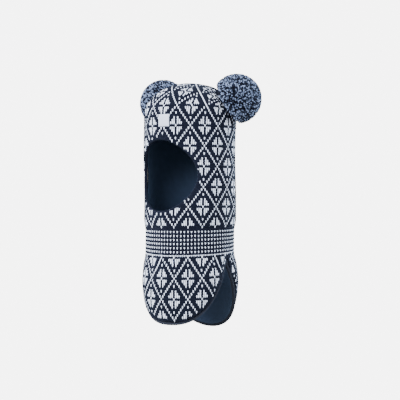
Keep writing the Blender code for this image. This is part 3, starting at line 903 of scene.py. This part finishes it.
lining = {
    "columns": 60,
    "domeRows": 16,
    "tubeRows": 46,
    "seamGap": 0.0003,
    "edgeMargin": 0.0045,
    "topGap": 0.02,  # radians left open at the top of the seam
    "domeLength": 0.07,
}


def liningHalf(name, side):
    angles = np.linspace(0.0, math.pi, lining["columns"] + 1) * side
    if side < 0:
        angles = angles[::-1]
    tubeZ = np.linspace(bandTopZ, domeZ, lining["tubeRows"] + 1)
    lift = -cloth["liningDepth"]
    tube = clothPoint(angles[None, :], tubeZ[:, None], lift)
    climb = np.linspace(0, math.pi / 2 - lining["topGap"], lining["domeRows"] + 1)[1:, None]
    width, depth, rise = hoodHigh[0] + lift, hoodHigh[1] + lift, cloth["domeRise"] + lift
    dome = np.stack(np.broadcast_arrays(width * np.cos(climb) * np.sin(angles),
                                        -depth * np.cos(climb) * np.cos(angles),
                                        domeZ + rise * np.sin(climb)), axis=-1)
    grid = np.concatenate([tube, dome])
    grid[..., 0] = side * np.maximum(side * grid[..., 0], lining["seamGap"] / 2)
    grid, inside = snapToOpening(grid, lining["edgeMargin"], lift)
    height = np.concatenate([tubeZ, domeZ + lining["domeLength"] * climb[:, 0]])
    uv = np.stack(np.broadcast_arrays(angles[None, :] * (width + depth) / 2, height[:, None]), axis=-1)
    return clothSheet(name, grid, False, cloth["liningThickness"], jersey,
                      keep=faceKeep(inside, False), uv=uv)


liningLeft = liningHalf("hood_jersey_left", 1)
liningRight = liningHalf("hood_jersey_right", -1)


def neckLining():
    angles = np.linspace(0, math.tau, 120, endpoint=False)
    share = np.linspace(1, 0, 12)[:, None]
    z = bandHeight(angles, share)
    uv = np.stack(np.broadcast_arrays(angles[None, :] * (bandHigh[0] + bandHigh[1]) / 2, z), axis=-1)
    return clothSheet("neck_jersey", clothPoint(angles[None, :], z, -cloth["liningDepth"]), True,
                      cloth["liningThickness"], jersey, uv=uv)


neckJersey = neckLining()
print("linings sewn")


# forehead label

label = {
    "columns": 14, "rows": 12,
    "lift": 0.0009, "thickness": 0.0008, "puff": 0.0006, "bevel": 0.00025,
    "stitchPitch": 0.0017, "stitchWidth": 0.0007, "stitchShare": 0.8, "inset": 0.06,
    "trimSide": 0.0030, "trimTop": 0.0022,
}


def makeLabel():
    edges = (labelLow[0] + label["trimSide"], labelHigh[0])
    lowAngle, highAngle = (math.asin(x / (hoodHigh[0] + 0.001)) for x in edges)
    lowZ, highZ = labelLow[2], labelHigh[2] - label["trimTop"]
    angles = np.linspace(lowAngle, highAngle, label["columns"] + 1)[None, :]
    z = np.linspace(lowZ, highZ, label["rows"] + 1)[:, None]
    u = np.linspace(-1, 1, label["columns"] + 1)[None, :]
    v = np.linspace(-1, 1, label["rows"] + 1)[:, None]
    puff = label["puff"] * (1 - u ** 4) * (1 - v ** 4)
    top = label["lift"] + label["thickness"]
    patch = clothSheet("forehead_label_satin", clothPoint(angles, z, top + puff), False,
                       label["thickness"], satin)
    edge = patch.modifiers.new("Soft edge", "BEVEL")
    edge.width = label["bevel"]
    edge.segments = 2
    edge.limit_method = "ANGLE"
    bake(patch)
    count = round((highZ - lowZ) / label["stitchPitch"])
    stitchZ = lowZ + (np.arange(count) + 0.5) * (highZ - lowZ) / count
    angle = lowAngle + (highAngle - lowAngle) * np.repeat([label["inset"], 1 - label["inset"]], count)
    centre = clothPoint(angle, np.tile(stitchZ, 2), top + 0.0001)
    across = np.stack([np.cos(angle), np.sin(angle), np.zeros(2 * count)], axis=-1)
    upward = np.tile([0.0, 0.0, 1.0], (2 * count, 1))
    seeds = stitchSeeds(centre, across * label["stitchWidth"],
                        upward * label["stitchPitch"] * label["stitchShare"], np.cross(across, upward),
                        np.full(len(centre), 0.9))
    return patch, runTree("forehead_label_thread", knitStitches, seeds,
                          {"Yarn Radius": 0.2, "Material": stitchYarn})


labelPatch, labelThread = makeLabel()


# pom-poms

pom = {
    "ballLift": 0.0119,  # from the pivot to the middle of the ball
    "baseLift": -0.0011,
    "ends": 8000,
    "rootShare": 0.45,
    "ragged": 0.0013,
    "longest": 0.0012,
    "shortest": 0.0032,
    "endRadius": 0.00092,
    "rootRadius": 0.0004,
    "coreShare": 0.84,
    "paleShare": 0.34,
    "seed": 5,
}


def pomReach(directions, axis, radius):  # how far a yarn end goes before the ball or its flat base stops it
    down = np.minimum(directions @ axis, -1e-6)
    toBase = (pom["ballLift"] - pom["baseLift"]) / -down
    return np.where(directions @ axis < 0, np.minimum(radius, toBase), radius)


def aimOf(tilt, spin):
    return np.stack(np.broadcast_arrays(np.cos(spin) * np.sin(tilt), np.sin(spin) * np.sin(tilt),
                                        np.cos(tilt)), axis=-1)


def makePompom(side, seed):
    low, high = corners("pompom_" + side)
    sign = 1 if side == "left" else -1
    centre = pomPivot[side] + pom["ballLift"] * pomAxis[side]
    radius = (high[0] if sign > 0 else -low[0]) - abs(centre[0])
    random = np.random.default_rng(seed)
    ends = pom["ends"]
    index = np.arange(ends) + 0.5
    aim = aimOf(np.arccos(1 - 2 * index / ends), math.pi * (1 + 5 ** 0.5) * index)
    aim = unit(aim + random.normal(0, 0.02, aim.shape))
    ragged = np.clip(random.normal(0, pom["ragged"], ends), -pom["shortest"], pom["longest"])
    ball = pomReach(aim, pomAxis[side], radius)
    reach, root = ball + ragged, ball * pom["rootShare"]
    twistDirection = unit(np.cross(aim, random.normal(0, 1, aim.shape)))
    seeds = {"centre": centre + aim * root[:, None], "alongRow": twistDirection, "outward": aim,
             "cellWidth": random.uniform(0.8, 1.25, ends), "cellHeight": reach - root,
             "yarnPick": (random.uniform(0, 1, ends) < pom["paleShare"]) * random.uniform(0.6, 1.0, ends),
             "yarnShade": np.clip(random.normal(0.5, 0.25, ends), 0, 1)}
    tufts = runTree("pompom_" + side + "_yarn_ends", cutYarnEnds, seeds,
                    {"End Radius": pom["endRadius"], "Root Radius": pom["rootRadius"], "Material": pomYarn})
    rings, around = 24, 36
    tilts = np.linspace(0, math.pi, rings + 1)[:, None]
    spins = np.linspace(0, math.tau, around, endpoint=False)[None, :]
    ballAim = aimOf(tilts, spins)[::-1]
    coreReach = pomReach(ballAim.reshape(-1, 3), pomAxis[side], radius).reshape(ballAim.shape[:2])
    points = centre + ballAim * (coreReach * pom["coreShare"])[..., None]
    core = meshObject("pompom_" + side + "_core", points, gridFaces(rings + 1, around, True))
    weld = core.modifiers.new("Poles", "WELD")
    weld.merge_threshold = 0.00001
    core.data.materials.append(feltDisc)
    return tufts, bake(core)


pomPieces = {side: makePompom(side, pom["seed"] + number) for number, side in enumerate(("left", "right"))}
print("pom-poms tied")


# carried-over pieces get their own finishes

for name, finish in {
    "ear_membrane_left": membraneFilm, "ear_membrane_right": membraneFilm, "face_elastic": elasticWebbing,
    "pompom_left_tie": tieYarn, "pompom_right_tie": tieYarn,
    "pompom_left_binding": bindingThread, "pompom_right_binding": bindingThread,
    "pompom_left_backing": feltDisc, "pompom_right_backing": feltDisc,
}.items():
    node = frame["nodes"][name]
    node.data.materials.clear()
    node.data.materials.append(finish)


# what each piece rides on and stands for

acrossNeck = [hoodGround, hoodStitches[0], liningLeft, liningRight, bandGround, bandStitches, neckJersey]
for piece in acrossNeck:
    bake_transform(piece)
for piece in hoodStitches[1:] + [bindingCore, bindingStitches, labelPatch, labelThread]:
    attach(piece, "hood")
for side, shape in flaps.items():
    for piece in flapPieces[side].values():
        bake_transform(piece)
for side, (tufts, core) in pomPieces.items():
    for piece in (tufts, core):
        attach(piece, "pompom_" + side + "_ball")
    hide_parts("pompom_" + side)

for piece, node in (
    (hoodGround, "hood_knit"), (bindingCore, "face_binding"), (labelPatch, "forehead_label"),
    (liningLeft, "hood_lining_left"), (liningRight, "hood_lining_right"),
    (bandGround, "neck_band"), (neckJersey, "neck_lining"),
):
    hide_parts(node)

for side, parts in flapPieces.items():
    for part, node in (("knit", "_flap_knit"), ("lining", "_flap_lining"), ("hemCore", "_flap_hem")):
        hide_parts(side + node)


# floor, light and camera

stage = {
    "floorZ": -0.62,
    "radius": 3.2,
    "bend": 1.0,
    "wall": 4.0,
    "room": "#f4f6fa",
    "roomLight": 1.3,
    "shown": 6.8,  # how bright the sweep looks
    "given": 1.2,  # how much light it gives
    "colour": "#f5f5f5",
}


def makeSweep():  # one pale sweep: floor, curve and wall
    radius, bend, around = stage["radius"], stage["bend"], 64
    curve = [(radius - bend + bend * math.sin(turn), bend - bend * math.cos(turn))
             for turn in np.linspace(0, math.pi / 2, 9)]
    profile = [(0.0, 0.0)] + curve + [(radius, stage["wall"])]
    angles = np.linspace(0, math.tau, around, endpoint=False)
    grid = np.array([[(out * math.cos(angle), out * math.sin(angle), stage["floorZ"] + height)
                      for angle in angles] for out, height in profile])
    sweep = meshObject("sweep", grid, gridFaces(len(profile), around, True)[:, ::-1])
    material, tree, shader = newMaterial("mattPaperSweep", Roughness=1.0, Specular_IOR_Level=0.0)
    shader.inputs["Base Color"].default_value = linear(stage["colour"])
    seen = addNode(tree, "ShaderNodeLightPath").outputs["Is Camera Ray"]
    strength = mathOf(tree, "MULTIPLY_ADD", seen, stage["shown"] - stage["given"], stage["given"])
    glow = addNode(tree, "ShaderNodeEmission", None, {"Color": linear(stage["colour"])},
                   {"Strength": strength})
    tree.links.new(glow.outputs[0], tree.nodes["Material Output"].inputs["Surface"])
    sweep.data.materials.append(material)


makeSweep()
world = bpy.data.worlds.new("paleRoom")
bpy.context.scene.world = world
world.use_nodes = True
background = world.node_tree.nodes["Background"]
background.inputs["Color"].default_value = linear(stage["room"])
background.inputs["Strength"].default_value = stage["roomLight"]

view = {"azimuth": math.radians(38), "distance": 1.84, "aimSide": 0.016, "aimZ": -0.1801, "lens": 103.5}


def aimAt(item, target):
    direction = Vector(target) - item.location
    item.rotation_euler = direction.to_track_quat("-Z", "Y").to_euler()


def addLight(name, azimuth, height, distance, size, power, hexCode):
    data = bpy.data.lights.new(name, "AREA")
    data.size = size
    data.energy = power
    data.color = linear(hexCode)[:3]
    lamp = newObject(name, data)
    turn = view["azimuth"] + math.radians(azimuth)
    lamp.location = (distance * math.sin(turn), -distance * math.cos(turn), height)
    aimAt(lamp, (0, 0, view["aimZ"]))


addLight("key", -40, 0.75, 1.9, 1.2, 125, "#f4f7ff")
addLight("fill", 50, 0.35, 2.1, 1.4, 48, "#e8f0fd")
addLight("rimRight", 120, 0.5, 1.8, 0.9, 75, "#cfe2f4")
addLight("rimLeft", -115, 0.5, 1.8, 0.9, 50, "#e4eefc")

cameraData = bpy.data.cameras.new("camera")
cameraData.lens = view["lens"]
cameraData.sensor_width = 36.0
camera = newObject("camera", cameraData)
sideways = Vector((math.cos(view["azimuth"]), math.sin(view["azimuth"]), 0))
backwards = Vector((math.sin(view["azimuth"]), -math.cos(view["azimuth"]), 0))
aim = sideways * view["aimSide"] + Vector((0, 0, view["aimZ"]))
camera.location = aim + backwards * view["distance"]
aimAt(camera, aim)
bpy.context.scene.camera = camera
print("stage set")
